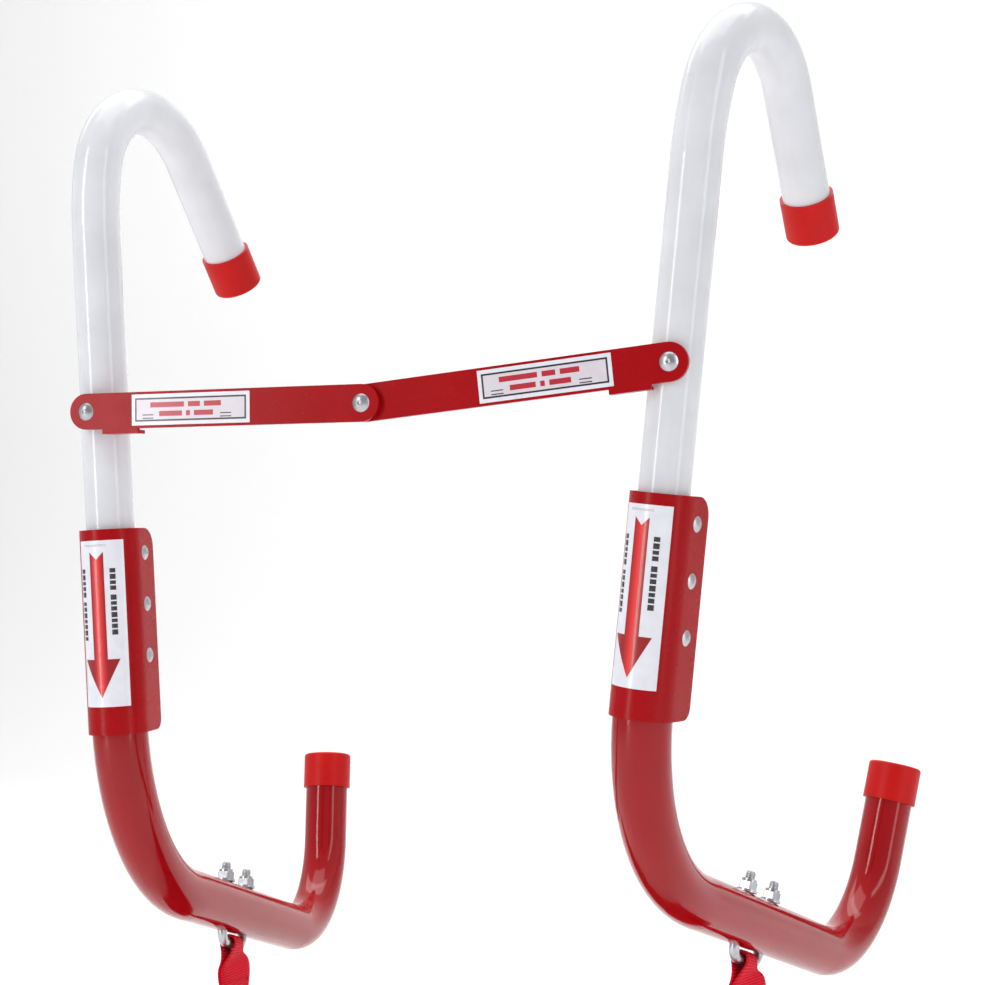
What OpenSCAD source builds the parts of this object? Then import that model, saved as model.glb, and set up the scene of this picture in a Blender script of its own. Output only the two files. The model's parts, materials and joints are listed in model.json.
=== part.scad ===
// Emergency escape ladder: two window hooks joined by a folding brace,
// with a webbing ladder of steel rungs stacked below them, all hanging
// upright from the hooks' crowns. In use the shanks lie across a window
// sill with +Y down: the white tips go inside the room, and the lower
// runs go outside, where their tips stand the ladder off the wall.
// +X runs from the left hook to the right, +Y is the side on which the
// hooks open and +Z is up. The origin is the seat inside the crowns,
// midway between the two hooks.

/* [Hooks] */
// Outside diameter of the white upper tube
upper_od = 22.2; // [20:0.1:24]
// Outside diameter of the red lower tube
lower_od = 25.4; // [25.4:0.1:28]
// Wall of the tubes
tube_wall = 1.4; // [1:0.1:1.4]
// Height of the upper straight above the brace rivet
shank_rise = 86.3; // [80:0.1:95]
// Bend radius and angle that lead into the crown
lead_r = 121; // [100:1:150]
lead_angle = 15; // [10:0.5:18]
// Bend radius and angle of the crown
crown_r = 44.2; // [42:0.1:55]
crown_angle = 128; // [115:1:132]
// Length of the straight tip that flares down and away
upper_tip = 71.4; // [55:0.1:80]
// Straight of the lower tube below the brace rivet
shank_drop = 143.3; // [142:0.1:155]
// Bend radius and angle into the lower run
heel_r = 97.5; // [80:0.5:105]
heel_angle = 72; // [68:0.5:80]
// Length of the lower run
run_length = 156.6; // [130:0.1:165]
// Bend radius and angle up to the lower tip
toe_r = 54; // [46:0.5:62]
toe_angle = 94; // [85:1:100]
// Length of the lower tip
lower_tip = 50; // [40:1:60]

/* [Stance] */
// Lean of the right hook, its top going outwards
right_lean = 9; // [0:0.5:9]
// Turn of the upper and lower tube of the left hook about its shank
left_turn = [4, -6]; // [-6:1:6]
// Turn of the upper and lower tube of the right hook about its shank
right_turn = [14, 15]; // [-6:1:16]

/* [Sleeve] */
// Top of the sleeve below the brace rivet
sleeve_drop = 54; // [50:0.5:58]
// Length of the sleeve
sleeve_length = 94; // [90:1:96]
// Thickness of the sleeve's sheet
sleeve_sheet = 1.4; // [1.2:0.1:2.2]
// Reach of the flat sides behind the tube's axis
flange_reach = 14.5; // [14:0.5:18]
// Rivets down the sides: distance of the first from the top, and spacing
flange_first = 11.5; // [10:0.5:14]
flange_pitch = 23.8; // [20:0.2:26]

/* [Brace] */
// Hole to hole length of one link
link_length = 136.2; // [130:0.1:140]
// Width of a link
link_width = 16.4; // [14:0.2:18]
// Thickness of a link
link_sheet = 2.5; // [2:0.1:2.5]
// How far the middle rivet hangs below the outer two
brace_sag = 6.5; // [0:0.5:8]
// Size of the warning decals
decal = [59, 14]; // [50:1:60]
// Distance of a decal from the outer rivet
decal_from = 24; // [24:1:30]

/* [U-bolts] */
// Diameter of the rod
rod_d = 5; // [4.5:0.1:5]
// Distance between the legs
leg_gap = 29.4; // [26:0.1:32]
// Place of the U-bolt along the lower run
bolt_at = 65.4; // [50:0.1:80]

/* [Ladder] */
// Number of rungs
rungs = 10; // [6:1:10]
// Length, depth and height of a rung
rung = [330, 38, 12]; // [320:1:340]
// Wall of the rung's channel
rung_wall = 1.5; // [1.2:0.1:1.8]
// Distance between one rung and the next in the stack
stack_pitch = 12.5; // [12.4:0.1:14]
// Length of webbing from the U-bolt to the top rung
hanger_length = 60; // [55:1:80]
// Width and thickness of the webbing
webbing = [25, 1.5]; // [20:1:26]

/* [Hidden] */
$fn = 64;

cut = 0.1;
seam = 0.1;
seam_rise = 0.02;
upper_r = upper_od / 2;
lower_r = lower_od / 2;

// The hook, from the crown down to the brace rivet
crown_y = lead_r * (1 - cos(lead_angle)) + crown_r * cos(lead_angle);
crown_z = shank_rise + lead_r * sin(lead_angle) + crown_r * (1 - sin(lead_angle));
shank_y = -crown_y;
rivet_z = -(crown_z - upper_r);
half_span = sqrt(link_length * link_length - brace_sag * brace_sag);
sag_angle = asin(brace_sag / link_length);
insert_depth = sleeve_drop + sleeve_length - 8;
lower_top = sleeve_drop + 4;
upper_path = [
  [insert_depth + shank_rise, lead_r, lead_angle],
  [0, crown_r, crown_angle],
  [upper_tip, 0, 0]
];
lower_path = [
  [shank_drop - lower_top, heel_r, heel_angle],
  [run_length, toe_r, toe_angle],
  [lower_tip, 0, 0]
];

// The same path, longer at both ends so that it cuts right through
function bore_of(path) = [
  [path[0][0] + cut, path[0][1], path[0][2]],
  path[1],
  [path[2][0] + cut, 0, 0]
];

// Sleeve and its fasteners
sleeve_in = lower_r + 0.2;
sleeve_out = sleeve_in + sleeve_sheet;
flange_top_r = 9;
flange_bottom_r = 5;
flange_rivet_y = 5;
flange_rivet_r = 2;
label_angle = 47;
label_height = 76;
label_drop = 5;
label_sheet = 0.15;

// Caps
cap_wall = 1.5;
cap_end = 2.5;
cap_length = 18;
cap_round = 1.6;

// Brace, with depths measured from the shanks' axes towards -Y
brace_rivet_r = 2.5;
brace_hole_r = 2.57;
right_link_back = upper_r + 0.3;
left_link_back = right_link_back + link_sheet + 0.3;
tab_from = 8.5;
tab_length = 18;
tab_drop = 2.2;
tab_sheet = 1.6;
tab_reach = 9.6;
rivet_head = [4, 1.7];
spacer_r = 5.5;

// U-bolt, measured from the lower run's axis
rod_r = rod_d / 2;
leg_hole_r = rod_r + 0.15;
leg_top = 22.7;
saddle = 18;
saddle_r = 6;
washer = [5, 1.2];
nut = [4.6, 4.8];
leg_straight = leg_top + saddle - saddle_r;
u_path = [
  [leg_straight, saddle_r, 90],
  [leg_gap - 2 * saddle_r, saddle_r, 90],
  [leg_straight, 0, 0]
];

// Where the middle of each U-bolt's saddle is, from its hook's rivet
heel_y = heel_r * (1 - cos(heel_angle));
heel_z = -shank_drop - heel_r * sin(heel_angle);
saddle_y = heel_y + bolt_at * sin(heel_angle) - saddle * cos(heel_angle);
saddle_z = heel_z - bolt_at * cos(heel_angle) - saddle * sin(heel_angle);
function turned(p, turn, lean) = [
  p.y * sin(turn) * cos(lean) + p.z * sin(lean),
  p.y * cos(turn),
  -p.y * sin(turn) * sin(lean) + p.z * cos(lean)
];
saddle_left = [-half_span, shank_y, rivet_z] + turned([0, saddle_y, saddle_z], left_turn[1], 0);
saddle_right = [half_span, shank_y, rivet_z] + turned([0, saddle_y, saddle_z], right_turn[1], right_lean);

// Ladder
loop_in = 3.1;
loop_width = 8;
loop_out = loop_in + webbing[1];
hanger_sheet = 2 * webbing[1] + 0.4;
hanger_from = 4.5;
stack_top = saddle_left.z - hanger_length;
stack_x = (saddle_left.x + saddle_right.x) / 2;
stack_y = (saddle_left.y + saddle_right.y) / 2;
slot_x = (saddle_right.x - saddle_left.x) / 2;
slot = [5, 29];
tread_rib = [1.6, 0.6];
tread_ribs = 9;
band = [25, 1];
band_gap = 0.3;
fold_length = 84;
fold_height = 7.6;
stub = 1.6;
foot_gap = 1;
stack_height = (rungs - 1) * stack_pitch + rung[2];

white = [0.9, 0.91, 0.93];
tube_red = [0.62, 0.06, 0.08];
steel_red = [0.68, 0.08, 0.1];
cap_red = [0.86, 0.13, 0.12];
strap_red = [0.85, 0.08, 0.16];
zinc = [0.78, 0.79, 0.8];
paper = [0.92, 0.92, 0.95];
black = [0.1, 0.1, 0.11];

// ---- shared shapes ----

// A bend that starts at the origin along +Z and turns towards +Y
module bend(radius, angle, r) {
  short = seam / radius * 180 / PI;
  translate([0, radius, 0])
    rotate([90, 0, -90])
      rotate([0, 0, short])
        rotate_extrude(angle = angle - 2 * short)
          translate([radius, 0])
            circle(r);
}

// Seam ring that joins a straight to a bend
module seam_ring(r) {
  cylinder(r = r + seam_rise, h = 5 * seam, center = true);
}

// Rod along a list of [straight, bend radius, bend angle]
module pipe(path, r, i = 0) {
  if (i < len(path)) {
    straight = path[i][0];
    radius = path[i][1];
    angle = path[i][2];
    before = i > 0 ? seam : 0;
    after = angle > 0 ? seam : 0;
    if (i > 0) seam_ring(r);
    if (straight > 0) translate([0, 0, before]) cylinder(r = r, h = straight - before - after);
    if (angle > 0) {
      if (straight > 0) translate([0, 0, straight]) seam_ring(r);
      translate([0, 0, straight]) bend(radius, angle, r);
    }
    translate([0, radius * (1 - cos(angle)), straight + radius * sin(angle)])
      rotate([-angle, 0, 0])
        pipe(path, r, i + 1);
  }
}

// Children placed at the end of a path
module at_end(path, i = 0) {
  if (i < len(path)) {
    radius = path[i][1];
    angle = path[i][2];
    translate([0, radius * (1 - cos(angle)), path[i][0] + radius * sin(angle)])
      rotate([-angle, 0, 0])
        at_end(path, i + 1)
          children();
  } else {
    children();
  }
}

// Domed head with a dimple, its flat side on z = 0 and its dome below
module dome(r, h) {
  ball = (r * r + h * h) / (2 * h);
  difference() {
    rotate_extrude()
      intersection() {
        translate([0, ball - h]) circle(ball);
        translate([0, -h]) square([r, h]);
      }
    translate([0, 0, -h - 1.2]) sphere(r * 0.45);
  }
}

// Rivet along +Z: a domed head below z = 0, its shank, and a flat tail
module rivet(r, grip, head, tail_h) {
  dome(head[0], head[1]);
  cylinder(r = r, h = grip + tail_h);
  translate([0, 0, grip]) cylinder(r = r * 1.5, h = tail_h);
}

// One hook's frame: the origin is its brace rivet, in the shank's axis
module hook_frame(side, turn) {
  translate([side * half_span, shank_y, rivet_z])
    rotate([0, side > 0 ? right_lean : 0, 0])
      rotate([0, 0, -turn])
        children();
}

// Frame of the lower run at the U-bolt: +Z along the run, +Y into the hook
module bolt_frame(side, turn) {
  hook_frame(side, turn)
    mirror([0, 0, 1])
      translate([0, heel_y, shank_drop + heel_r * sin(heel_angle)])
        rotate([-heel_angle, 0, 0])
          translate([0, 0, bolt_at])
            children();
}

module at_legs() {
  for (s = [-1, 1]) translate([0, 0, s * leg_gap / 2]) children();
}

// ---- hooks ----

module upper_tube(side, turn) {
  color(white)
    hook_frame(side, turn)
      difference() {
        translate([0, 0, -insert_depth]) pipe(upper_path, upper_r);
        translate([0, 0, -insert_depth - cut]) pipe(bore_of(upper_path), upper_r - tube_wall);
        rotate([90, 0, turn]) cylinder(r = brace_hole_r, h = 3 * upper_r, center = true);
      }
}

module lower_tube(side, turn) {
  color(tube_red)
    difference() {
      hook_frame(side, turn)
        mirror([0, 0, 1])
          translate([0, 0, lower_top])
            difference() {
              pipe(lower_path, lower_r);
              translate([0, 0, -cut]) pipe(bore_of(lower_path), lower_r - tube_wall);
            }
      bolt_frame(side, turn)
        at_legs()
          rotate([90, 0, 0])
            cylinder(r = leg_hole_r, h = 3 * lower_r, center = true);
    }
}

// Push-on cap: its mouth faces -Z and the tube's end is at z = 0
module cap(tube_r) {
  outer = tube_r + cap_wall;
  difference() {
    rotate_extrude() {
      translate([0, -cap_length]) square([outer, cap_length + cap_end - cap_round]);
      translate([0, -cap_length]) square([outer - cap_round, cap_length + cap_end]);
      translate([outer - cap_round, cap_end - cap_round]) circle(cap_round);
    }
    translate([0, 0, -cap_length - cut]) cylinder(r = tube_r + 0.05, h = cap_length + cut + 0.05);
  }
}

module upper_cap(side, turn) {
  color(cap_red)
    hook_frame(side, turn)
      translate([0, 0, -insert_depth])
        at_end(upper_path)
          cap(upper_r);
}

module lower_cap(side, turn) {
  color(cap_red)
    hook_frame(side, turn)
      mirror([0, 0, 1])
        translate([0, 0, lower_top])
          at_end(lower_path)
            cap(lower_r);
}

// Cuts a corner of the flange to a radius: up is 1 at the top, -1 at the bottom
module flange_corner(radius, up) {
  rotate([0, 90, 0])
    linear_extrude(2 * sleeve_out + 2, center = true)
      difference() {
        translate([up > 0 ? -cut : -radius, 0]) square([radius + cut, radius + 5]);
        translate([up > 0 ? radius : -radius, 0]) circle(radius);
      }
}

module sleeve(side, turn) {
  color(steel_red)
    hook_frame(side, turn)
      translate([0, 0, -sleeve_drop - sleeve_length])
        difference() {
          linear_extrude(sleeve_length)
            difference() {
              union() {
                circle(sleeve_out);
                translate([-sleeve_out, 0]) square([2 * sleeve_out, flange_reach]);
              }
              circle(sleeve_in);
              translate([-sleeve_in, 0]) square([2 * sleeve_in, flange_reach + 1]);
            }
          translate([0, flange_reach - flange_top_r, sleeve_length])
            flange_corner(flange_top_r, 1);
          translate([0, flange_reach - flange_bottom_r, 0])
            flange_corner(flange_bottom_r, -1);
          at_flange_rivets()
            cylinder(r = flange_rivet_r + 0.05, h = 2 * sleeve_out + 2, center = true);
        }
}

// Flange rivet places, in the frame of the sleeve's lower end
module at_flange_rivets() {
  for (i = [0:2])
    translate([0, flange_rivet_y, sleeve_length - flange_first - i * flange_pitch])
      rotate([0, 90, 0])
        children();
}

// A short rivet in each flat side, its inner end just clear of the tube
module sleeve_rivets(side, turn) {
  color(zinc)
    hook_frame(side, turn)
      translate([0, 0, -sleeve_drop - sleeve_length])
        at_flange_rivets()
          for (flip = [0, 1])
            mirror([0, 0, flip])
              translate([0, 0, -sleeve_out]) {
                dome(3.4, 1.3);
                cylinder(r = flange_rivet_r, h = sleeve_sheet + 0.4);
              }
}

module sleeve_label(side, turn) {
  color(paper)
    hook_frame(side, turn)
      translate([0, 0, -sleeve_drop - label_drop - label_height])
        rotate([0, 0, -90 - label_angle])
          rotate_extrude(angle = 2 * label_angle)
            translate([sleeve_out, 0])
              square([label_sheet, label_height]);
}

// ---- U-bolts ----

module u_bolt(side, turn) {
  color(zinc)
    bolt_frame(side, turn)
      translate([0, leg_top, -leg_gap / 2])
        rotate([90, 0, 0])
          pipe(u_path, rod_r);
}

module u_bolt_washers(side, turn) {
  color(zinc)
    bolt_frame(side, turn)
      at_legs()
        translate([0, lower_r + 0.05 + washer[1], 0])
          rotate([90, 0, 0])
            difference() {
              cylinder(r = washer[0], h = washer[1]);
              translate([0, 0, -cut]) cylinder(r = rod_r + 0.1, h = washer[1] + 2 * cut);
            }
}

module u_bolt_nuts(side, turn) {
  color(zinc)
    bolt_frame(side, turn)
      at_legs()
        translate([0, lower_r + 0.1 + washer[1] + nut[1], 0])
          rotate([90, 0, 0])
            difference() {
              union() {
                translate([0, 0, 1.4]) cylinder(r = nut[0], h = nut[1] - 1.4, $fn = 6);
                cylinder(r = nut[0] * 0.8, h = 1.5);
              }
              translate([0, 0, -cut]) cylinder(r = rod_r + 0.05, h = nut[1] + 2 * cut);
            }
}

// ---- brace ----

// Frame of a link: the origin is its outer rivet, +X towards the middle
module link_frame(side) {
  translate([side * half_span, shank_y, rivet_z])
    mirror([side > 0 ? 1 : 0, 0, 0])
      rotate([0, sag_angle, 0])
        children();
}

module brace_link(side, back) {
  r = link_width / 2;
  color(steel_red)
    link_frame(side) {
      translate([0, -back, 0])
        rotate([90, 0, 0])
          linear_extrude(link_sheet)
            difference() {
              union() {
                circle(r);
                translate([link_length, 0]) circle(r);
                translate([0, -r]) square([link_length, link_width]);
                translate([tab_from, -r - tab_drop]) square([tab_length, r]);
              }
              circle(brace_hole_r);
              translate([link_length, 0]) circle(brace_hole_r);
            }
      translate([tab_from, -back - cut, -r - tab_drop])
        cube([tab_length, back + cut - tab_reach, tab_sheet]);
    }
}

module brace_decal(side, back) {
  color(paper)
    link_frame(side)
      translate([decal_from, -back - link_sheet - 0.15, -decal[1] / 2])
        cube([decal[0], 0.15, decal[1]]);
}

// Rivets through a link and a shank, and through both links
module brace_rivet(x, z, front, back) {
  color(zinc)
    translate([x, shank_y - front, z])
      rotate([-90, 0, 0])
        rivet(brace_rivet_r, front - back, rivet_head, 1.4);
}

module brace_spacer() {
  color(zinc)
    translate([-half_span, shank_y - left_link_back + 0.05, rivet_z])
      rotate([-90, 0, 0])
        difference() {
          cylinder(r = spacer_r, h = left_link_back - upper_r - 0.15);
          translate([0, 0, -cut]) cylinder(r = brace_hole_r, h = 5);
        }
}

// ---- ladder ----

// Webbing loop over the U-bolt's saddle and its tail down to the top rung
module webbing_hanger(at, turn, lean, slot_side) {
  foot = stack_top + stub + foot_gap;
  foot_x = stack_x + slot_side * slot_x;
  color(strap_red) {
    translate(at)
      rotate([0, lean, 0])
        rotate([heel_angle, 0, -turn])
          difference() {
            cylinder(r = loop_out, h = loop_width, center = true);
            cylinder(r = loop_in, h = loop_width + 1, center = true);
          }
    hull() {
      translate([at.x - hanger_sheet / 2, at.y - webbing[0] / 2, at.z - hanger_from - 8])
        cube([hanger_sheet, webbing[0], 0.1]);
      translate([foot_x - hanger_sheet / 2, stack_y - webbing[0] / 2, foot])
        cube([hanger_sheet, webbing[0], 0.1]);
    }
    hull() {
      translate([at.x - loop_in, at.y - loop_width / 2, at.z - hanger_from - 0.1])
        cube([2 * loop_in, loop_width, 0.1]);
      translate([at.x - hanger_sheet / 2, at.y - webbing[0] / 2, at.z - hanger_from - 8])
        cube([hanger_sheet, webbing[0], 0.1]);
    }
  }
}

// Steel channel rung, open below, with a ribbed tread and a slot at each end
module rung_bar(level) {
  top = stack_top - (level - 1) * stack_pitch;
  color(steel_red)
    translate([stack_x, stack_y, top - rung[2]])
      difference() {
        union() {
          translate([-rung[0] / 2, -rung[1] / 2, 0]) cube(rung);
          for (i = [0:tread_ribs - 1])
            translate([0, (i - (tread_ribs - 1) / 2) * 3.6, rung[2]])
              translate([-rung[0] / 2 + 50, -tread_rib[0] / 2, -cut])
                cube([rung[0] - 100, tread_rib[0], 0.3 + cut]);
        }
        translate([-rung[0] / 2 - 1, -rung[1] / 2 + rung_wall, -1])
          cube([rung[0] + 2, rung[1] - 2 * rung_wall, rung[2] + 1 - rung_wall]);
        for (s = [-1, 1])
          translate([s * slot_x - slot[0] / 2, -slot[1] / 2, 0])
            cube([slot[0], slot[1], rung[2] + 1]);
      }
}

// Webbing folded inside each rung's channel, with the short length that
// stands in the slot above it
module webbing_folds(side) {
  color(strap_red)
    for (level = [1:rungs])
      translate([stack_x + side * slot_x, stack_y, stack_top - (level - 1) * stack_pitch]) {
        translate([side > 0 ? -fold_length : -4, -webbing[0] / 2, -rung_wall - 0.4 - fold_height])
          cube([fold_length + 4, webbing[0], fold_height]);
        translate([-hanger_sheet / 2, -webbing[0] / 2, -rung_wall - 0.5])
          cube([hanger_sheet, webbing[0], rung_wall + 0.5 + (level == 1 ? stub : 0)]);
      }
}

// Hook-and-loop band round the middle of the stack
module stack_band() {
  depth = rung[1] + 2 * band_gap;
  height = stack_height + 2 * band_gap + 0.3;
  color(black)
    translate([stack_x, stack_y, stack_top + band_gap + 0.3 - height / 2])
      difference() {
        cube([band[0], depth + 2 * band[1], height + 2 * band[1]], center = true);
        cube([band[0] + 1, depth, height], center = true);
      }
}

// Pull tab stitched to the band's free end
module band_tab() {
  front = rung[1] / 2 + band_gap + band[1];
  color(cap_red)
    translate([stack_x, stack_y - front - 0.05, stack_top - stack_height * 0.45])
      rotate([90, 0, 0])
        linear_extrude(2) {
          translate([-band[0] / 2, 0]) square([band[0], 34]);
          circle(band[0] / 2);
        }
}

upper_tube(-1, left_turn[0]);  // upper_tube_left
lower_tube(-1, left_turn[1]);  // lower_tube_left
sleeve(-1, left_turn[1]);  // sleeve_left
sleeve_rivets(-1, left_turn[1]);  // sleeve_rivets_left
sleeve_label(-1, left_turn[1]);  // sleeve_label_left
upper_cap(-1, left_turn[0]);  // upper_cap_left
lower_cap(-1, left_turn[1]);  // lower_cap_left
u_bolt(-1, left_turn[1]);  // u_bolt_left
u_bolt_nuts(-1, left_turn[1]);  // u_bolt_nuts_left
u_bolt_washers(-1, left_turn[1]);  // u_bolt_washers_left
upper_tube(1, right_turn[0]);  // upper_tube_right
lower_tube(1, right_turn[1]);  // lower_tube_right
sleeve(1, right_turn[1]);  // sleeve_right
sleeve_rivets(1, right_turn[1]);  // sleeve_rivets_right
sleeve_label(1, right_turn[1]);  // sleeve_label_right
upper_cap(1, right_turn[0]);  // upper_cap_right
lower_cap(1, right_turn[1]);  // lower_cap_right
u_bolt(1, right_turn[1]);  // u_bolt_right
u_bolt_nuts(1, right_turn[1]);  // u_bolt_nuts_right
u_bolt_washers(1, right_turn[1]);  // u_bolt_washers_right
brace_link(-1, left_link_back);  // brace_link_left
brace_link(1, right_link_back);  // brace_link_right
brace_decal(-1, left_link_back);  // brace_decal_left
brace_decal(1, right_link_back);  // brace_decal_right
brace_rivet(-half_span, rivet_z, left_link_back + link_sheet + 0.05, -upper_r - 0.05);  // brace_rivet_left
brace_rivet(0, rivet_z - brace_sag, left_link_back + link_sheet + 0.05, right_link_back - 0.05);  // brace_rivet_middle
brace_rivet(half_span, rivet_z, right_link_back + link_sheet + 0.05, -upper_r - 0.05);  // brace_rivet_right
brace_spacer();
webbing_hanger(saddle_left, left_turn[1], 0, -1);  // webbing_left
webbing_hanger(saddle_right, right_turn[1], right_lean, 1);  // webbing_right
rung_bar(1);  // rung_01
rung_bar(2);  // rung_02
rung_bar(3);  // rung_03
rung_bar(4);  // rung_04
rung_bar(5);  // rung_05
rung_bar(6);  // rung_06
rung_bar(7);  // rung_07
rung_bar(8);  // rung_08
rung_bar(9);  // rung_09
rung_bar(10);  // rung_10
webbing_folds(-1);  // webbing_folds_left
webbing_folds(1);  // webbing_folds_right
stack_band();
band_tab();
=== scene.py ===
"""Escape ladder: finishes, webbing, stitching, threads, labels, floor, lights and camera."""
import json
import math

import bpy
from mathutils import Matrix, Vector


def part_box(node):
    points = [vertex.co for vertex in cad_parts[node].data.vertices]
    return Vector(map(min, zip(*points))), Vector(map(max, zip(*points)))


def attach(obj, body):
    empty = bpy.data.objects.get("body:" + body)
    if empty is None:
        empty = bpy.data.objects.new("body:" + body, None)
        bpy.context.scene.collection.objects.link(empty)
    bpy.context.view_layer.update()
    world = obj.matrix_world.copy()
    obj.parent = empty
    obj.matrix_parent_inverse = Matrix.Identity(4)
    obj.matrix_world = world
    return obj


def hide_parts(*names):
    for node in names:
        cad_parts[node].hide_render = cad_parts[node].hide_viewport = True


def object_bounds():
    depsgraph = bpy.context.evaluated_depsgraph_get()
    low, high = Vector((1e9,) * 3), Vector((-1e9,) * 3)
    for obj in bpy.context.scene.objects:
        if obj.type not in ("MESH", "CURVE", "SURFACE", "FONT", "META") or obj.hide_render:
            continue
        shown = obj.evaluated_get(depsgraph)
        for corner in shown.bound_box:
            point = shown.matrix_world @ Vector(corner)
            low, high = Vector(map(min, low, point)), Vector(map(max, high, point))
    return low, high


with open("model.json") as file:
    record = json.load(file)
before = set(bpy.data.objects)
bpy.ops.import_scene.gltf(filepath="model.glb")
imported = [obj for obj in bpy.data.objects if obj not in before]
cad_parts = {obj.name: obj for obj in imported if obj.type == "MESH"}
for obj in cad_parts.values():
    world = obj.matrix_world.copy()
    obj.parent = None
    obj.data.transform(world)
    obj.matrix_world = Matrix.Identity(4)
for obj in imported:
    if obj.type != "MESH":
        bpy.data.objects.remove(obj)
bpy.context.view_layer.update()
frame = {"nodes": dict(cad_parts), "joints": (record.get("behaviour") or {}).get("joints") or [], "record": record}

MM = 0.001

# Camera, at the photograph's viewing angle: place in metres, angles in degrees, lens for a 36 mm sensor
CAMERA_AT = (0.3014, -0.7756, -0.2117)
CAMERA_TURN = 18.88
CAMERA_PITCH = 1.79
CAMERA_ROLL = -3.11
CAMERA_LENS = 65.4

JOINTS = {joint["name"]: Vector(joint["pos_m"]) for joint in frame["joints"]}

# The hooks' stance, in degrees, as the CAD has it
LEAN = {"left": 0, "right": 9}
LOWER_TURN = {"left": -6, "right": 15}
HEEL_ANGLE = 72
PIVOT = {"left": "left_pivot", "right": "right_pivot"}
SWING = {"left": "strap_left_swing", "right": "strap_right_swing"}

# U-bolt
ROD_R = 2.5 * MM
LEG_GAP = 29.4 * MM
LEG_LENGTH = 40.7 * MM
SADDLE_R = 6 * MM
THREAD_PITCH = 0.8 * MM
THREAD_LENGTH = 22 * MM
THREAD_DEPTH = 0.42 * MM

# Webbing, and which way a hanger's width points at each depth in mm below the saddle, in degrees from +Y
WEB_WIDTH = 25 * MM
WEB_THICK = 1.5 * MM
RIB_PITCH = 1.3 * MM
RIB_TALL = 0.1 * MM
LOOP_WIDTH = 12.5 * MM
LOOP_CLEAR = 0.65 * MM
LOOP_CURL = 0.05 * MM
CLOSE_DROP = 9 * MM
WIDEN_DROP = 11 * MM
SEWN_GAP = 0.95 * MM
SWAY = 1.1 * MM
TWIST = {
    "left": ((0, -6), (14, 9), (36, -6), (56, 0)),
    "right": ((0, 15), (13, 29), (34, 14), (56, 0)),
}
RUNGS = 10
FOLD_LAYERS = 4
FOLD_REACH = 79 * MM
FOLD_BACK = 2 * MM
FOLD_ROOM = 7.4 * MM

# Prints: ink heights, and the arrow's and the frame's widths
INK = 0.06 * MM
DECAL_INK = 0.05 * MM
FIELD_INK = 0.02 * MM
ARROW_MIDDLE = -1.2 * MM
ARROW_HALF = 3.5 * MM
ARROW_HEAD = 9.2 * MM
ARROW_SLICES = 12
FRAME_EDGE = 1.7 * MM
FRAME_LINE = 0.75 * MM

# Stitches: (place along the stitch in mm, size) and sides. Band and tab
STITCH_ROWS = ((-1.1, 0.05), (-0.8, 0.75), (0.0, 1.0), (0.8, 0.75), (1.1, 0.05))
STITCH_SIDES = 6
BAND_THICK = 0.8 * MM
BAND_CORNER = 1.6 * MM
TAB_THICK = 1.1 * MM
TAB_STAND = 0.75 * MM
TAB_SEAM = 1.4 * MM


# ---- camera ----

def make_camera():
    """The photograph's view, and plain colours without a film curve."""
    data = bpy.data.cameras.new("camera")
    data.sensor_width = 36
    data.lens = CAMERA_LENS
    cam = bpy.data.objects.new("camera", data)
    bpy.context.scene.collection.objects.link(cam)
    bpy.context.scene.camera = cam
    cam.matrix_world = (
        Matrix.Translation(CAMERA_AT)
        @ Matrix.Rotation(math.radians(CAMERA_TURN), 4, "Z")
        @ Matrix.Rotation(math.pi / 2 + math.radians(CAMERA_PITCH), 4, "X")
        @ Matrix.Rotation(math.radians(CAMERA_ROLL), 4, "Z")
    )
    data.clip_start = 0.01
    data.clip_end = 100
    bpy.context.scene.view_settings.view_transform = "Standard"


# ---- materials ----

class Nodes:
    """A short way to write a material's nodes."""

    def __init__(self, name):
        self.mat = bpy.data.materials.new(name)
        self.mat.use_nodes = True
        self.tree = self.mat.node_tree
        self.shader = self.tree.nodes["Principled BSDF"]

    def add(self, kind, **values):
        node = self.tree.nodes.new(kind)
        for key, value in values.items():
            if key in node.inputs:
                node.inputs[key].default_value = value
            else:
                setattr(node, key, value)
        return node

    def link(self, source, target):
        self.tree.links.new(source, target)

    def place(self, uv=False):
        coords = self.add("ShaderNodeTexCoord")
        return coords.outputs["UV" if uv else "Object"]

    def noise(self, scale, detail):
        node = self.add("ShaderNodeTexNoise", Scale=scale, Detail=detail)
        self.link(self.place(), node.inputs["Vector"])
        return node.outputs["Fac"]

    def ramp(self, fac, stops):
        node = self.add("ShaderNodeValToRGB")
        while len(node.color_ramp.elements) < len(stops):
            node.color_ramp.elements.new(0.5)
        for element, (at, colour) in zip(node.color_ramp.elements, stops):
            element.position = at
            element.color = (*colour, 1)
        self.link(fac, node.inputs["Fac"])
        return node.outputs["Color"]

    def span(self, fac, low, high):
        node = self.add("ShaderNodeMapRange")
        node.inputs["To Min"].default_value = low
        node.inputs["To Max"].default_value = high
        self.link(fac, node.inputs["Value"])
        return node.outputs["Result"]

    def paint(self, fac, stops):
        self.link(self.ramp(fac, stops), self.shader.inputs["Base Color"])

    def roughen(self, fac, low, high):
        self.link(self.span(fac, low, high), self.shader.inputs["Roughness"])

    def bump(self, height, strength, distance):
        node = self.add("ShaderNodeBump", Strength=strength, Distance=distance)
        self.link(height, node.inputs["Height"])
        self.link(node.outputs["Normal"], self.shader.inputs["Normal"])

    def set(self, **values):
        for key, value in values.items():
            self.shader.inputs[key.replace("_", " ")].default_value = value


def scaled(colour, factor):
    return tuple(c * factor for c in colour)


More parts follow.
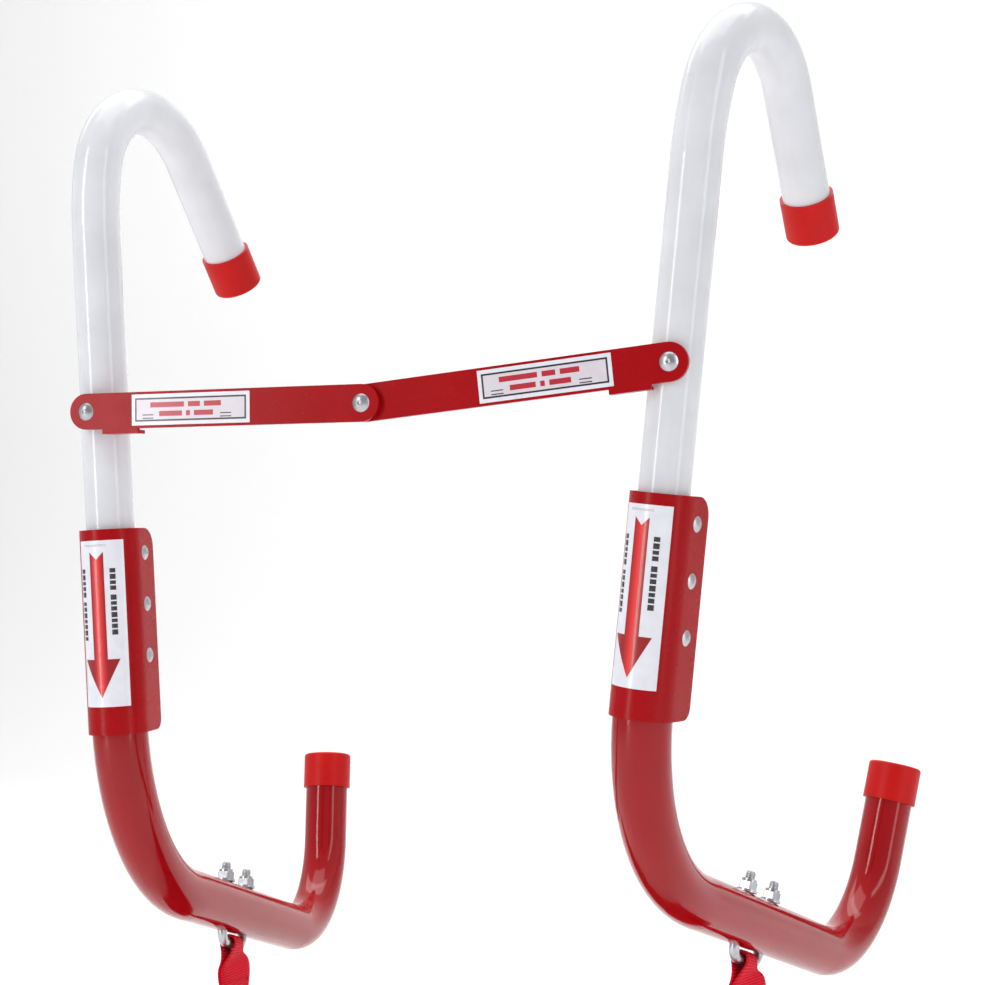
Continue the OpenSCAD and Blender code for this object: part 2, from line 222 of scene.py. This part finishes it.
def coat_material(name, colour, rough, specular, grain):
    """Baked paint or powder coat: slight mottling, orange peel and gloss."""
    m = Nodes(name)
    m.paint(m.noise(38, 4), [(0.3, scaled(colour, 0.94)), (0.7, scaled(colour, 1.05))])
    m.roughen(m.noise(90, 5), rough * 0.8, rough * 1.25)
    m.bump(m.noise(1400, 2), grain, 0.00012)
    m.set(Specular_IOR_Level=specular)
    return m.mat


def zinc_material():
    """Bright zinc plate, a little cloudy."""
    m = Nodes("zinc")
    m.paint(m.noise(260, 5), [(0.3, (0.42, 0.43, 0.46)), (0.7, (0.62, 0.63, 0.65))])
    m.roughen(m.noise(500, 4), 0.2, 0.42)
    m.bump(m.noise(2600, 2), 0.2, 0.00005)
    m.set(Metallic=1.0)
    return m.mat


def vinyl_material(name, colour):
    """Dipped vinyl: satin, faintly pebbled."""
    m = Nodes(name)
    m.paint(m.noise(70, 4), [(0.25, scaled(colour, 0.88)), (0.75, scaled(colour, 1.06))])
    m.roughen(m.noise(160, 4), 0.34, 0.5)
    m.bump(m.noise(2200, 3), 0.35, 0.00008)
    m.set(Specular_IOR_Level=0.2)
    return m.mat


def print_material(name, colour):
    """Ink or paper under a clear film."""
    m = Nodes(name)
    m.paint(m.noise(180, 5), [(0.3, scaled(colour, 0.95)), (0.7, scaled(colour, 1.03))])
    m.bump(m.noise(900, 2), 0.12, 0.00005)
    m.set(Roughness=0.3, Coat_Weight=0.35, Coat_Roughness=0.12)
    return m.mat


def arrow_material():
    """Red ink with painted shading: a painted highlight along the arrow's middle, and painted shade darkening it
    towards its edges.
    """
    m = Nodes("arrow_ink_painted_shading")
    split = m.add("ShaderNodeSeparateXYZ")
    m.link(m.place(uv=True), split.inputs["Vector"])
    # Painted shade at the arrow's edges and a painted highlight along its middle, where the sleeve's curve faces
    # the light
    edge, painted_highlight_core = (0.34, 0.004, 0.008), (0.86, 0.02, 0.02)
    m.paint(split.outputs["X"], [(0.2, edge), (0.5, painted_highlight_core), (0.8, edge)])
    m.bump(m.noise(900, 2), 0.1, 0.00005)
    m.set(Roughness=0.3, Coat_Weight=0.35, Coat_Roughness=0.12)
    return m.mat


def weave(m, ribs, threads):
    """Height of a ribbed weave from a strip's UV, where U is across it and V along it, in metres."""
    split = m.add("ShaderNodeSeparateXYZ")
    m.link(m.place(uv=True), split.inputs["Vector"])
    waves = []
    for axis, pitch in (("Y", ribs), ("X", threads)):
        scale = m.add("ShaderNodeMath", operation="MULTIPLY")
        scale.inputs[1].default_value = 2 * math.pi / pitch
        m.link(split.outputs[axis], scale.inputs[0])
        sine = m.add("ShaderNodeMath", operation="SINE")
        m.link(scale.outputs[0], sine.inputs[0])
        waves.append(sine.outputs[0])
    both = m.add("ShaderNodeMath", operation="MULTIPLY_ADD")
    both.inputs[1].default_value = 0.45
    m.link(waves[1], both.inputs[0])
    m.link(waves[0], both.inputs[2])
    return both.outputs[0]


def webbing_material(name, colour, ribs=RIB_PITCH, threads=1.1 * MM):
    """Ribbed polyester webbing: painted shade darkens the rib valleys and painted light brightens the crests, with
    random specks and a little sheen.
    """
    m = Nodes(name)
    height = m.span(weave(m, ribs, threads), 0.0, 0.7)
    speck_and_painted_weave_shade = m.add("ShaderNodeMath", operation="MULTIPLY_ADD")
    speck_and_painted_weave_shade.inputs[1].default_value = 0.35
    m.link(m.noise(1500, 3), speck_and_painted_weave_shade.inputs[0])
    m.link(height, speck_and_painted_weave_shade.inputs[2])
    # Colour follows the weave's height as painted shade in the valleys and painted light on the crests; the noise
    # adds random specks
    m.paint(speck_and_painted_weave_shade.outputs[0], [(0.1, scaled(colour, 0.6)), (0.5, colour), (1.0, scaled(colour, 1.2))])
    m.bump(speck_and_painted_weave_shade.outputs[0], 0.6, 0.0003)
    m.set(Roughness=0.6, Specular_IOR_Level=0.15, Sheen_Weight=0.04, Sheen_Roughness=0.4)
    return m.mat


def pile_material(name, colour):
    """Hook-and-loop tape: a dull, tangled pile."""
    m = Nodes(name)
    tangle = m.noise(2400, 6)
    m.paint(tangle, [(0.3, scaled(colour, 0.4)), (0.7, scaled(colour, 1.8))])
    m.bump(tangle, 0.8, 0.0006)
    m.set(Roughness=0.9, Sheen_Weight=0.3, Sheen_Roughness=0.5)
    return m.mat


def pale_material():
    """The floor's matt paint."""
    m = Nodes("studio_floor")
    m.set(Base_Color=(0.93, 0.93, 0.935, 1), Roughness=0.7)
    return m.mat


MATERIALS = {
    "white_coat": coat_material("white_coat", (0.74, 0.755, 0.79), 0.14, 0.45, 0.06),
    "red_coat": coat_material("red_coat", (0.34, 0.001, 0.004), 0.1, 0.4, 0.05),
    "steel_red": coat_material("steel_red", (0.38, 0.002, 0.005), 0.26, 0.16, 0.2),
    "rung_coat": coat_material("rung_coat", (0.38, 0.002, 0.005), 0.3, 0.16, 0.2),
    "vinyl": vinyl_material("vinyl", (0.56, 0.006, 0.005)),
    "zinc": zinc_material(),
    "label": print_material("label", (0.82, 0.83, 0.9)),
    "webbing": webbing_material("webbing", (0.86, 0.004, 0.026)),
    "band": pile_material("band", (0.02, 0.02, 0.022)),
    "tab": webbing_material("tab", (0.62, 0.015, 0.02), 0.7 * MM, 0.7 * MM),
}
BLACK_INK = print_material("black_ink", (0.015, 0.015, 0.018))
RED_INK = print_material("red_ink", (0.5, 0.012, 0.03))
PALE_INK = print_material("pale_ink", (0.74, 0.68, 0.74))
ARROW_INK_PAINTED_SHADING = arrow_material()
THREAD = vinyl_material("thread", (0.5, 0.006, 0.02))


# ---- shared shapes ----

def add_mesh(name, verts, faces, material, uvs=None, smooth=True):
    mesh = bpy.data.meshes.new(name)
    mesh.from_pydata([tuple(v) for v in verts], [], faces)
    if uvs:
        layer = mesh.uv_layers.new(name="UVMap")
        for loop in mesh.loops:
            layer.data[loop.index].uv = uvs[loop.vertex_index]
    mesh.materials.append(material)
    mesh.polygons.foreach_set("use_smooth", [smooth] * len(mesh.polygons))
    mesh.validate()
    mesh.update()
    obj = bpy.data.objects.new(name, mesh)
    bpy.context.scene.collection.objects.link(obj)
    return obj


def hook_matrix(side):
    """The lower hook's frame: its origin is the brace rivet in the shank's axis, and +Y is into the hook."""
    return (
        Matrix.Translation(JOINTS[PIVOT[side]])
        @ Matrix.Rotation(math.radians(LEAN[side]), 4, "Y")
        @ Matrix.Rotation(-math.radians(LOWER_TURN[side]), 4, "Z")
    )


def saddle_matrix(side):
    """The U-bolt's frame: its origin is the middle of its saddle, +Z along the run and +Y into the hook."""
    turn = hook_matrix(side).to_3x3().to_4x4()
    flip = Matrix.Diagonal((1, 1, -1, 1))
    heel = Matrix.Rotation(-math.radians(HEEL_ANGLE), 4, "X")
    return Matrix.Translation(JOINTS[SWING[side]]) @ turn @ flip @ heel


def local_points(node, matrix):
    back = matrix.inverted()
    return [back @ v.co for v in frame["nodes"][node].data.vertices]


def sweep(name, matrix, points, radius_at, sides, material):
    """A round rod along points in a plane, whose radius may change along it and around it.

    The matrix mirrors the rod, so its faces are listed the other way round.
    """
    count = len(points)
    verts = []
    for i, point in enumerate(points):
        ahead = points[min(i + 1, count - 1)] - points[max(i - 1, 0)]
        ahead.normalize()
        across = Vector((1, 0, 0))
        other = ahead.cross(across)
        for k in range(sides):
            angle = 2 * math.pi * k / sides
            r = radius_at(i, angle)
            verts.append(matrix @ (point + across * r * math.cos(angle) + other * r * math.sin(angle)))
    faces = []
    for i in range(count - 1):
        for k in range(sides):
            n = (k + 1) % sides
            faces.append((i * sides + k, (i + 1) * sides + k, (i + 1) * sides + n, i * sides + n))
    faces.append(tuple(range(sides)))
    faces.append(tuple(reversed(range((count - 1) * sides, count * sides))))
    return add_mesh(name, verts, faces, material)


def strip(name, stations, material, across):
    """A flat woven strip with thin edges, across points wide.

    Each station is (middle, width direction, face direction, width, thickness, curl).
    """
    edge = 0.35
    steps = [i / (across - 1) - 0.5 for i in range(across)]
    ring = 2 * across
    verts, uvs = [], []
    along = 0.0
    last = None
    for middle, wide, out, width, thick, curl in stations:
        if last is not None:
            along += (middle - last).length
        last = middle
        for face, order in ((0.5, steps), (-0.5, reversed(steps))):
            for u in order:
                taper = edge + (1 - edge) * min(1.0, (0.5 - abs(u)) * 12)
                wave = curl * math.cos(4 * math.pi * u)
                verts.append(middle + wide * width * u + out * (wave + face * thick * taper))
                uvs.append((u * WEB_WIDTH, along))
    faces = []
    for i in range(len(stations) - 1):
        for k in range(ring):
            n = (k + 1) % ring
            faces.append((i * ring + k, (i + 1) * ring + k, (i + 1) * ring + n, i * ring + n))
    last_ring = (len(stations) - 1) * ring
    for k in range(across - 1):
        faces.append((k, k + 1, ring - 2 - k, ring - 1 - k))
        faces.append((last_ring + k + 1, last_ring + k, last_ring + ring - 1 - k, last_ring + ring - 2 - k))
    return add_mesh(name, verts, faces, material, uvs)


def join(name, pieces):
    """Pieces of one material as one object."""
    verts, faces, uvs = [], [], []
    material = pieces[0].data.materials[0]
    for piece in pieces:
        base = len(verts)
        mesh = piece.data
        verts += [v.co.copy() for v in mesh.vertices]
        faces += [tuple(base + i for i in p.vertices) for p in mesh.polygons]
        spots = [(0.0, 0.0)] * len(mesh.vertices)
        if mesh.uv_layers:
            for loop in mesh.loops:
                spots[loop.vertex_index] = tuple(mesh.uv_layers[0].data[loop.index].uv)
        uvs += spots
        bpy.data.objects.remove(piece)
        bpy.data.meshes.remove(mesh)
    return add_mesh(name, verts, faces, material, uvs)


def plate(name, outline, height, place, material):
    """A thin printed shape. place(u, v, h) puts the outline's flat coordinates on the surface."""
    count = len(outline)
    lo = min(u for u, v in outline)
    wide = max(u for u, v in outline) - lo
    verts = [place(u, v, height) for u, v in outline] + [place(u, v, 0) for u, v in outline]
    uvs = [((u - lo) / wide, v) for u, v in outline] * 2
    faces = [tuple(range(count)), tuple(reversed(range(count, 2 * count)))]
    faces += [(i, count + i, count + (i + 1) % count, (i + 1) % count) for i in range(count)]
    return add_mesh(name, verts, faces, material, uvs, smooth=False)


def bar(u0, v0, u1, v1):
    return [(u0, v0), (u1, v0), (u1, v1), (u0, v1)]


def stitches(name, places, material):
    """A row of short raised threads. Each place is (middle, direction, face direction)."""
    parts = []
    for middle, along, out in places:
        side = along.cross(out)
        ring = STITCH_SIDES
        verts = []
        for at, size in STITCH_ROWS:
            for k in range(ring):
                angle = 2 * math.pi * k / ring
                wide = side * math.cos(angle) * 0.3 * MM * size
                tall = out * math.sin(angle) * 0.26 * MM * size
                verts.append(middle + along * at * MM + out * 0.1 * MM + (wide + tall))
        faces = []
        for i in range(len(STITCH_ROWS) - 1):
            for k in range(ring):
                n = (k + 1) % ring
                faces.append((i * ring + k, (i + 1) * ring + k, (i + 1) * ring + n, i * ring + n))
        faces.append(tuple(range(ring)))
        faces.append(tuple(reversed(range(len(verts) - ring, len(verts)))))
        parts.append(add_mesh(name + "_part", verts, faces, material))
    return join(name, parts)


# ---- CAD pieces that keep their shape ----

def finish_nodes():
    """Every CAD node gets its slot's material."""
    slots = {part["node"]: part["material_slot"] for part in frame["record"]["subparts"]}
    for node, obj in frame["nodes"].items():
        obj.data.materials.clear()
        obj.data.materials.append(MATERIALS[slots[node]])


# ---- U-bolts ----

def make_u_bolt(side):
    """The bent rod, with rolled threads on both legs."""
    half = LEG_GAP / 2
    fine = THREAD_PITCH / 8
    points, marks = [], []
    turns = round(THREAD_LENGTH / fine)
    for i in range(turns + 1):
        points.append(Vector((0, LEG_LENGTH - i * fine, -half)))
        marks.append(i * fine)
    bend = [math.pi / 2 * i / 12 for i in range(13)]
    for a in bend:
        level = SADDLE_R - SADDLE_R * math.sin(a)
        points.append(Vector((0, level, -half + SADDLE_R - SADDLE_R * math.cos(a))))
    marks += [None] * len(bend)
    points += [Vector((p.x, p.y, -p.z)) for p in reversed(points)]
    marks += list(reversed(marks))

    def radius_at(i, angle):
        """Right-handed threads on both legs, fading out, with a chamfered tip."""
        if marks[i] is None:
            return ROD_R
        fade = min(1.0, (THREAD_LENGTH - marks[i]) / (2 * THREAD_PITCH))
        chamfer = max(0.0, 1 - marks[i] / (1.2 * THREAD_PITCH))
        hand = 1 if i < len(marks) / 2 else -1
        phase = hand * 2 * math.pi * marks[i] / THREAD_PITCH + angle
        return ROD_R - THREAD_DEPTH * (0.5 + 0.5 * math.cos(phase)) * fade - 0.6 * MM * chamfer

    rod = sweep("threaded_u_bolt_" + side, saddle_matrix(side), points, radius_at, 28, MATERIALS["zinc"])
    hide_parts("u_bolt_" + side)
    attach(rod, "hook_" + side)


# ---- webbing ----

def slot_foot(side):
    """Middle of the top rung's slot, on the rung's top face."""
    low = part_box("webbing_" + side)[0].z + 0.2 * MM
    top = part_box("rung_01")[1]
    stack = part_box("webbing_folds_" + side)
    foot = [v.co for v in frame["nodes"]["webbing_" + side].data.vertices if v.co.z < low]
    x = sum(v.x for v in foot) / len(foot)
    return Vector((x, (stack[0].y + stack[1].y) / 2, top.z))


def smooth(t):
    """An eased step from 0 to 1."""
    t = max(0.0, min(1.0, t))
    return t * t * (3 - 2 * t)


def turn_at(side, fall):
    """Which way the hanger's width points, in degrees from +Y, at a depth below the saddle."""
    keys = TWIST[side]
    for (d0, a0), (d1, a1) in zip(keys, keys[1:]):
        if fall <= d1 * MM:
            return a0 + (a1 - a0) * smooth((fall / MM - d0) / (d1 - d0))
    return keys[-1][1]


def make_hanger(side):
    """Webbing over the U-bolt's saddle, and its two plies, sewn together, down to the top rung."""
    matrix = saddle_matrix(side)
    saddle = matrix.to_translation()
    run = (matrix.to_3x3() @ Vector((0, 0, 1))).normalized()
    foot = slot_foot(side)
    end = Vector((foot.x, foot.y, foot.z + 1.2 * MM))
    loop_r = ROD_R + WEB_THICK / 2 + LOOP_CLEAR
    drop = saddle.z - end.z
    up = Vector((0, 0, 1))
    side_on = run.cross(up).normalized()
    over_top = side_on.cross(run).normalized()
    pitch = RIB_PITCH / 4

    def ply(sign):
        stations = []
        count = round(drop / pitch)
        for i in range(count + 1):
            fall = drop * i / count
            ease = smooth(fall / CLOSE_DROP)
            angle = math.radians(turn_at(side, fall))
            wide = run.lerp(Vector((math.sin(angle), math.cos(angle), 0)), ease).normalized()
            out = wide.cross(up).normalized()
            gap = loop_r * (1 - ease) + SEWN_GAP * ease
            sway = SWAY * math.sin(math.pi * i / count) * ease
            middle = saddle.lerp(end, i / count) + out * (sign * gap + sway)
            width = LOOP_WIDTH + (WEB_WIDTH - LOOP_WIDTH) * smooth(fall / WIDEN_DROP)
            thick = WEB_THICK + RIB_TALL * math.sin(2 * math.pi * fall / RIB_PITCH)
            stations.append((middle, wide, out * sign, width, thick, LOOP_CURL * (1 - ease)))
        return stations

    over = []
    for k in range(1, 16):
        a = math.pi * k / 16
        out = over_top * math.sin(a) - side_on * math.cos(a)
        over.append((saddle + out * loop_r, run, out, LOOP_WIDTH, WEB_THICK, LOOP_CURL))
    left, right = ply(-1), ply(1)
    loop = strip("hanger_webbing_" + side, left[::-1] + over + right, MATERIALS["webbing"], across=18)
    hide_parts("webbing_" + side)
    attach(loop, "strap_" + side)
    rows = []
    for plies in (left, right):
        for fall in range(20, 46, 3):
            middle, wide, out, width, thick, curl = plies[round(fall * MM / pitch)]
            for edge in (-0.38, 0.38):
                rows.append((middle + wide * width * edge + out * thick / 2, up, out))
        for fall in (18.5, 45):
            middle, wide, out, width, thick, curl = plies[round(fall * MM / pitch)]
            for k in range(-3, 4):
                rows.append((middle + wide * k * 2.9 * MM + out * thick / 2, wide, out))
    sewn = stitches("hanger_stitching_" + side, rows, THREAD)
    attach(sewn, "strap_" + side)


def fold_stations(x, y, top, inward):
    """A zigzag of webbing under a rung's top, with the end that stands in the rung's slot."""
    gap = FOLD_ROOM / FOLD_LAYERS
    reach = (inward * FOLD_REACH, -inward * FOLD_BACK)
    points = [Vector((x, y, top + 0.6 * MM)), Vector((x, y, top - gap * 0.2))]
    steps = 14
    for layer in range(FOLD_LAYERS):
        z = top - 2.0 * MM - layer * gap
        target = reach[layer % 2]
        start = points[-1].x - x
        for i in range(1, steps):
            t = i / steps
            wave = 0.12 * MM * math.sin(5 * t + layer)
            points.append(Vector((x + start + (target - start) * t * 0.97, y, z + wave)))
        turn = 1 if target > start else -1
        if layer < FOLD_LAYERS - 1:
            for a in (0.25, 0.5, 0.75):
                swing = math.pi * a
                bulge = turn * math.sin(swing) * gap * 0.42
                points.append(Vector((x + target + bulge, y, z - gap * (1 - math.cos(swing)) / 2)))
    wide = Vector((0, 1, 0))
    stations = []
    for i, point in enumerate(points):
        ahead = (points[min(i + 1, len(points) - 1)] - points[max(i - 1, 0)]).normalized()
        out = ahead.cross(wide).normalized()
        stations.append((point, wide, out, WEB_WIDTH * 0.98, WEB_THICK * 0.92, 0.0))
    return stations


def make_folds(side):
    """The ladder's webbing, folded inside each rung's channel."""
    inward = 1 if side == "left" else -1
    foot = slot_foot(side)
    pieces = []
    for level in range(1, RUNGS + 1):
        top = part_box("rung_%02d" % level)[1].z - 0.3 * MM
        stations = fold_stations(foot.x, foot.y, top, inward)
        pieces.append(strip("fold_part", stations, MATERIALS["webbing"], across=6))
    folds = join("folded_webbing_" + side, pieces)
    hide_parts("webbing_folds_" + side)
    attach(folds, "ladder_stack")


# ---- labels ----

def make_sleeve_print(side):
    """A plain down arrow and lines of blank type on the wrapped label."""
    matrix = hook_matrix(side)
    points = local_points("sleeve_label_" + side, matrix)
    radius = max(math.hypot(p.x, p.y) for p in points)
    low, high = min(p.z for p in points), max(p.z for p in points)
    tall = high - low

    def place(u, v, h):
        angle = -math.pi / 2 + u / radius
        r = radius + 0.02 * MM + h
        return matrix @ Vector((r * math.cos(angle), r * math.sin(angle), v))

    def printed(name, outlines, material):
        parts = [plate(name + "_part", outline, INK, place, material) for outline in outlines]
        whole = join(name, parts)
        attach(whole, "hook_" + side)

    def slab(across, feet, heads):
        """An upright slice of the arrow between two places across it."""
        left, right = [ARROW_MIDDLE + u for u in across]
        return [(left, feet[0]), (right, feet[1]), (right, heads[1]), (left, heads[0])]

    top, notch = high - 0.07 * tall, high - 0.115 * tall
    neck, tip = high - 0.715 * tall, high - 0.945 * tall
    outlines = []
    for i in range(ARROW_SLICES):
        across = [-ARROW_HALF + 2 * ARROW_HALF * k / ARROW_SLICES for k in (i, i + 1)]
        crest = [notch + (top - notch) * abs(u) / ARROW_HALF for u in across]
        outlines.append(slab(across, (neck, neck), crest))
    for i in range(2 * ARROW_SLICES):
        across = [-ARROW_HEAD + ARROW_HEAD * k / ARROW_SLICES for k in (i, i + 1)]
        foot = [neck + (tip - neck) * (1 - abs(u) / ARROW_HEAD) for u in across]
        outlines.append(slab(across, foot, (neck, neck)))
    arrow = [plate("arrow_part", outline, INK, place, ARROW_INK_PAINTED_SHADING) for outline in outlines]
    # UV across the arrow sets where its painted highlight and painted shade fall
    for part, outline in zip(arrow, outlines):
        layer = part.data.uv_layers[0]
        flat = [u for u, v in outline] * 2
        for loop in part.data.loops:
            across = (flat[loop.vertex_index] - ARROW_MIDDLE) / (3.2 * ARROW_HALF)
            layer.data[loop.index].uv = (0.5 + across, 0.5)
    whole = join("sleeve_arrow_" + side, arrow)
    whole.data.polygons.foreach_set("use_smooth", [False] * len(whole.data.polygons))
    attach(whole, "hook_" + side)

    # Two columns of blank words: place across in mm, start down the label, blocks, and the block after a gap
    blocks = []
    for u, start, count, gap_at in ((6.2, 0.17, 11, 4), (-9.6, 0.17, 12, 5)):
        at = start
        for k in range(count):
            long = (0.026, 0.031, 0.022)[k % 3]
            if k == gap_at:
                at += 0.02
            blocks.append(bar((u - 1.3) * MM, high - (at + long) * tall, (u + 1.3) * MM, high - at * tall))
            at += long + 0.0085
    printed("sleeve_type_" + side, blocks, BLACK_INK)
    small = [bar((k - 8) * MM, high - 0.036 * tall, (k - 7.3) * MM, high - 0.024 * tall) for k in range(12)]
    for k in range(9):
        start, stop = high - (0.72 + 0.02 * k) * tall, high - (0.735 + 0.02 * k) * tall
        small.append(bar(-11.4 * MM, start, -10.8 * MM, stop))
    printed("sleeve_small_type_" + side, small, PALE_INK)


def make_decal_print(side):
    """A black frame, a pale field and two lines of blank type on a link's decal."""
    node = "brace_decal_" + side
    verts = [v.co.copy() for v in frame["nodes"][node].data.vertices]
    inner = JOINTS["middle_pivot"]
    outer = JOINTS[PIVOT[side]]
    along = (inner - outer).normalized()
    if along.x < 0:
        along = -along
    face = Vector((0, -1, 0))
    upward = face.cross(along).normalized() * -1
    if upward.z < 0:
        upward = -upward
    middle = sum(verts, Vector()) / len(verts)
    front = min(v.y for v in verts)
    centre = Vector((middle.x, front, middle.z))
    half_u = max((v - centre).dot(along) for v in verts)
    half_v = max((v - centre).dot(upward) for v in verts)

    def place(u, v, h):
        return centre + along * u + upward * v + face * (h + 0.01 * MM)

    def printed(name, outlines, height, material):
        parts = [plate(name + "_part", outline, height, place, material) for outline in outlines]
        whole = join(name, parts)
        whole.data.polygons.foreach_set("use_smooth", [False] * len(whole.data.polygons))
        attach(whole, "link_" + side)

    u, v, line = half_u - FRAME_EDGE, half_v - FRAME_EDGE, FRAME_LINE
    border = [bar(-u, v - line, u, v), bar(-u, -v, u, -v + line)]
    border += [bar(-u, -v + line, -u + line, v - line), bar(u - line, -v + line, u, v - line)]
    printed("decal_frame_" + side, border, DECAL_INK, BLACK_INK)
    field = [bar(-u + line, -v + line, u - line, v - line)]
    printed("decal_field_" + side, field, FIELD_INK, PALE_INK)
    type_lines = []
    for v0, words in ((0.9, ((-20, -3), (-1, 5), (7, 15.5))), (-3.1, ((-15.5, -4), (-2, 0), (2, 11.5)))):
        for u0, u1 in words:
            type_lines.append(bar(u0 * MM, v0 * MM, u1 * MM, (v0 + 2.3) * MM))
    printed("decal_type_" + side, type_lines, DECAL_INK, RED_INK)
    small = []
    for u0 in (-24, 15):
        for v0 in (-4.1, -2.6):
            small.append(bar(u0 * MM, v0 * MM, (u0 + 5.5) * MM, (v0 + 0.45) * MM))
    printed("decal_small_type_" + side, small, DECAL_INK, BLACK_INK)


# ---- band round the stack ----

def make_band():
    """Hook-and-loop band: one strip wound round the stack, its free end lapped over at the front."""
    lo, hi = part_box("stack_band")
    wide = (hi.x - lo.x) * 0.98
    x = (lo.x + hi.x) / 2
    half_y, half_z = (hi.y - lo.y) / 2 - BAND_THICK / 2, (hi.z - lo.z) / 2 - BAND_THICK / 2
    mid_y, mid_z = (lo.y + hi.y) / 2, (lo.z + hi.z) / 2
    corner = BAND_CORNER
    loop = []
    for sy, sz, start in ((-1, 1, 90), (-1, -1, 180), (1, -1, 270), (1, 1, 0)):
        for k in range(6):
            a = math.radians(start + 90 * k / 5)
            cy, cz = sy * (half_y - corner), sz * (half_z - corner)
            loop.append((cy + corner * math.cos(a), cz + corner * math.sin(a)))

    def dense(points, step=3 * MM):
        out = []
        for (y0, z0), (y1, z1) in zip(points, points[1:]):
            n = max(1, round(math.hypot(y1 - y0, z1 - z0) / step))
            out += [(y0 + (y1 - y0) * i / n, z0 + (z1 - z0) * i / n) for i in range(n)]
        return out + [points[-1]]

    path = dense(loop + [loop[0]])
    stations = []
    for i, (y, z) in enumerate(path):
        before, after = path[max(i - 1, 0)], path[min(i + 1, len(path) - 1)]
        ahead = Vector((0, after[0] - before[0], after[1] - before[1])).normalized()
        out = ahead.cross(Vector((1, 0, 0))).normalized()
        stations.append((Vector((x, mid_y + y, mid_z + z)), Vector((1, 0, 0)), out, wide, BAND_THICK, 0.0))
    band = strip("hook_and_loop_band", stations, MATERIALS["band"], across=8)
    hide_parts("stack_band")
    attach(band, "ladder_stack")

    lo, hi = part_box("band_tab")
    front = hi.y
    reach = hi.z - lo.z
    steps = 26
    half = (hi.x - lo.x) / 2
    across, face = Vector((1, 0, 0)), Vector((0, -1, 0))
    tab_stations = []
    for i in range(steps + 1):
        z = hi.z - reach * i / steps
        below = max(0.0, (lo.z + half) - z)
        width = 2 * math.sqrt(max(half * half - below * below, (1.2 * MM) ** 2))
        bow = 0.5 * MM * math.sin(math.pi * i / steps)
        middle = Vector((x, front - TAB_STAND - bow, z))
        tab_stations.append((middle, across, face, width * 0.98, TAB_THICK, 0.0))
    tab = strip("pull_tab", tab_stations, MATERIALS["tab"], across=10)
    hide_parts("band_tab")
    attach(tab, "ladder_stack")
    rows = []
    for k in range(-4, 5):
        for z in (hi.z - 3 * MM, hi.z - 9 * MM):
            rows.append((Vector((x + k * 2.5 * MM, front - TAB_SEAM, z)), across, face))
    sewn = stitches("tab_stitching", rows, THREAD)
    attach(sewn, "ladder_stack")


# ---- studio ----

def make_studio():
    """A floor that curves up behind, a world brighter behind than in front, and four lamps, in metres."""
    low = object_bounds()[0].z - 0.02
    size, rise, back, curve = 6.0, 3.0, 2.2, 0.8
    profile = [(-size, low), (back, low)]
    for i in range(1, 13):
        a = math.pi / 2 * i / 12
        profile.append((back + curve * math.sin(a), low + curve * (1 - math.cos(a))))
    profile.append((back + curve, low + rise))
    verts = [(x, y, z) for x in (-size, size) for y, z in profile]
    count = len(profile)
    faces = [(i, count + i, count + i + 1, i + 1) for i in range(count - 1)]
    floor = add_mesh("studio_floor", verts, faces, pale_material())

    world = bpy.data.worlds.new("studio")
    bpy.context.scene.world = world
    world.use_nodes = True
    tree = world.node_tree
    where = tree.nodes.new("ShaderNodeTexCoord")
    split = tree.nodes.new("ShaderNodeSeparateXYZ")
    level = tree.nodes.new("ShaderNodeMapRange")
    level.inputs["From Min"].default_value = -1
    level.inputs["To Min"].default_value = 0.32
    level.inputs["To Max"].default_value = 0.95
    tree.links.new(where.outputs["Generated"], split.inputs["Vector"])
    tree.links.new(split.outputs["Y"], level.inputs["Value"])
    tree.links.new(level.outputs["Result"], tree.nodes["Background"].inputs["Strength"])
    tree.nodes["Background"].inputs["Color"].default_value = (1, 1, 1, 1)

    def area(name, at, aim, size_x, size_y, power):
        data = bpy.data.lights.new(name, "AREA")
        data.shape = "RECTANGLE"
        data.size, data.size_y, data.energy = size_x, size_y, power
        lamp = bpy.data.objects.new(name, data)
        bpy.context.scene.collection.objects.link(lamp)
        lamp.location = at
        lamp.rotation_euler = (Vector(aim) - Vector(at)).to_track_quat("-Z", "Y").to_euler()

    aim = (0, 0.05, -0.25)
    area("key_light", (-0.9, -1.3, 0.3), aim, 0.22, 1.8, 11)
    area("fill_light", (1.5, -0.6, 0.2), aim, 0.3, 1.8, 5)
    area("top_light", (0.0, 0.2, 1.4), aim, 1.6, 1.2, 11)
    area("floor_wash", (-0.6, 1.1, 1.7), (-0.7, 2.4, -0.3), 3.6, 1.6, 42)


make_camera()
finish_nodes()
for hook_side in ("left", "right"):
    make_u_bolt(hook_side)
    make_hanger(hook_side)
    make_folds(hook_side)
    make_sleeve_print(hook_side)
    make_decal_print(hook_side)
make_band()
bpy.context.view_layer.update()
make_studio()
